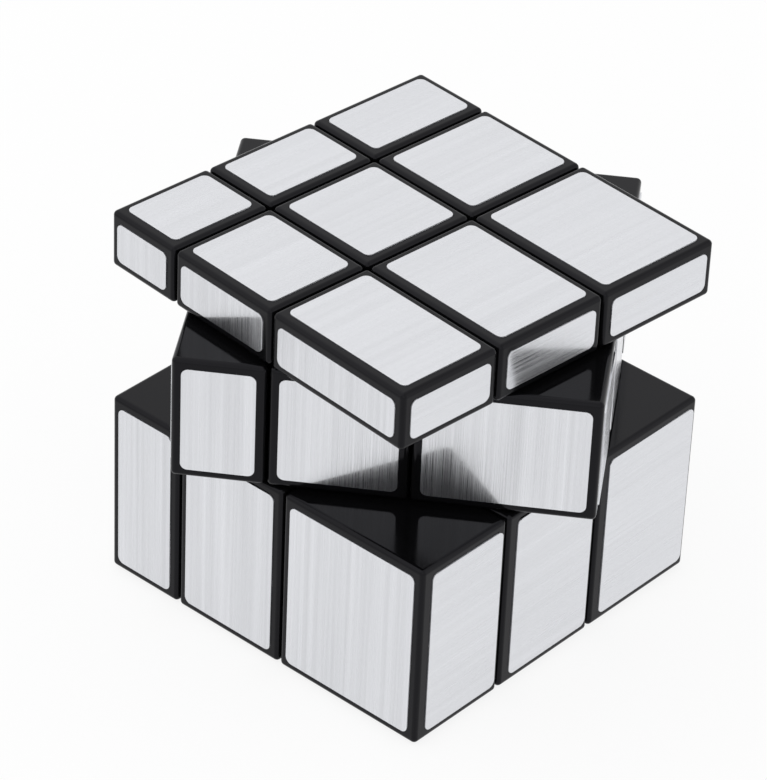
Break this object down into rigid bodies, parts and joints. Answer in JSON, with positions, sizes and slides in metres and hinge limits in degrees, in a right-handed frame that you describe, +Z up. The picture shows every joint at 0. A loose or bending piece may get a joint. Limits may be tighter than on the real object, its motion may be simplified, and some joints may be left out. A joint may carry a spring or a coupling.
{
  "type": "twisty puzzle cube",
  "caption": "Turning puzzle cube with unequal black blocks, silver brushed-mirror films and an off-centre core, stored part-way through a turn.",
  "frame": {"origin": "centre of the turning axis on the resting face", "axes": "+Z up along the layers' turning axis, -Y front face of the bottom layer, +X its right face"},
  "size_m": [0.0781, 0.0781, 0.057],
  "materials": {
    "black_plastic": "glossy",
    "mechanism_plastic": "glossy",
    "mirror_film": "brushed",
    "bright_steel": "satin",
    "spring_steel": "satin"
  },
  "bodies": {
    "bottom_layer": {"bottom_back_edge": "black_plastic", "bottom_back_left_corner": "black_plastic", "bottom_back_right_corner": "black_plastic", "bottom_corner_feet": "mechanism_plastic", "bottom_edge_feet": "mechanism_plastic", "bottom_face_films": "mirror_film", "bottom_front_edge": "black_plastic", "bottom_front_left_corner": "black_plastic", "bottom_front_right_corner": "black_plastic", "bottom_left_edge": "black_plastic", "bottom_right_edge": "black_plastic", "bottom_side_films": "mirror_film"},
    "middle_slice": {"back_spring": "spring_steel", "bottom_spring": "spring_steel", "centre_screws": "bright_steel", "centre_washers": "bright_steel", "core": "mechanism_plastic", "front_spring": "spring_steel", "left_spring": "spring_steel", "middle_back_left_edge": "black_plastic", "middle_back_right_edge": "black_plastic", "middle_edge_feet": "mechanism_plastic", "middle_front_left_edge": "black_plastic", "middle_front_right_edge": "black_plastic", "middle_side_films": "mirror_film", "right_spring": "spring_steel", "top_spring": "spring_steel"},
    "top_layer": {"top_back_edge": "black_plastic", "top_back_left_corner": "black_plastic", "top_back_right_corner": "black_plastic", "top_corner_feet": "mechanism_plastic", "top_edge_feet": "mechanism_plastic", "top_face_films": "mirror_film", "top_front_edge": "black_plastic", "top_front_left_corner": "black_plastic", "top_front_right_corner": "black_plastic", "top_left_edge": "black_plastic", "top_right_edge": "black_plastic", "top_side_films": "mirror_film"},
    "left_centre": {"left_centre_block": "black_plastic", "left_centre_cap": "black_plastic", "left_centre_film": "mirror_film"},
    "right_centre": {"right_centre_block": "black_plastic", "right_centre_cap": "black_plastic", "right_centre_film": "mirror_film"},
    "front_centre": {"front_centre_block": "black_plastic", "front_centre_cap": "black_plastic", "front_centre_film": "mirror_film"},
    "back_centre": {"back_centre_block": "black_plastic", "back_centre_cap": "black_plastic", "back_centre_film": "mirror_film"},
    "bottom_centre": {"bottom_centre_block": "black_plastic", "bottom_centre_cap": "black_plastic", "bottom_centre_film": "mirror_film"},
    "top_centre": {"top_centre_block": "black_plastic", "top_centre_cap": "black_plastic", "top_centre_film": "mirror_film"}
  },
  "joints": [
    {"name": "middle_slice_turn", "type": "hinge", "parent": "bottom_layer", "child": "middle_slice", "pos_m": [0, 0, 0.0385], "axis": [0, 0, 1], "continuous": true},
    {"name": "top_layer_turn", "type": "hinge", "parent": "middle_slice", "child": "top_layer", "pos_m": [0, 0, 0.0385], "axis": [0, 0, 1], "continuous": true},
    {"name": "left_centre_slide", "type": "slide", "parent": "middle_slice", "child": "left_centre", "axis": [-0.8251, -0.565, 0], "range_m": [0, 0.0005], "stiffness_N_per_m": 600, "springref_m": -0.0015, "deforming": ["left_spring"]},
    {"name": "right_centre_slide", "type": "slide", "parent": "middle_slice", "child": "right_centre", "axis": [0.8251, 0.565, 0], "range_m": [0, 0.0005], "stiffness_N_per_m": 600, "springref_m": -0.0015, "deforming": ["right_spring"]},
    {"name": "front_centre_slide", "type": "slide", "parent": "middle_slice", "child": "front_centre", "axis": [0.565, -0.8251, 0], "range_m": [0, 0.0005], "stiffness_N_per_m": 600, "springref_m": -0.0015, "deforming": ["front_spring"]},
    {"name": "back_centre_slide", "type": "slide", "parent": "middle_slice", "child": "back_centre", "axis": [-0.565, 0.8251, 0], "range_m": [0, 0.0005], "stiffness_N_per_m": 600, "springref_m": -0.0015, "deforming": ["back_spring"]},
    {"name": "bottom_centre_slide", "type": "slide", "parent": "bottom_layer", "child": "bottom_centre", "axis": [0, 0, -1], "range_m": [0, 0.0005], "stiffness_N_per_m": 600, "springref_m": -0.0015, "deforming": ["bottom_spring"]},
    {"name": "top_centre_slide", "type": "slide", "parent": "top_layer", "child": "top_centre", "axis": [0, 0, 1], "range_m": [0, 0.0005], "stiffness_N_per_m": 600, "springref_m": -0.0015, "deforming": ["top_spring"]}
  ]
}
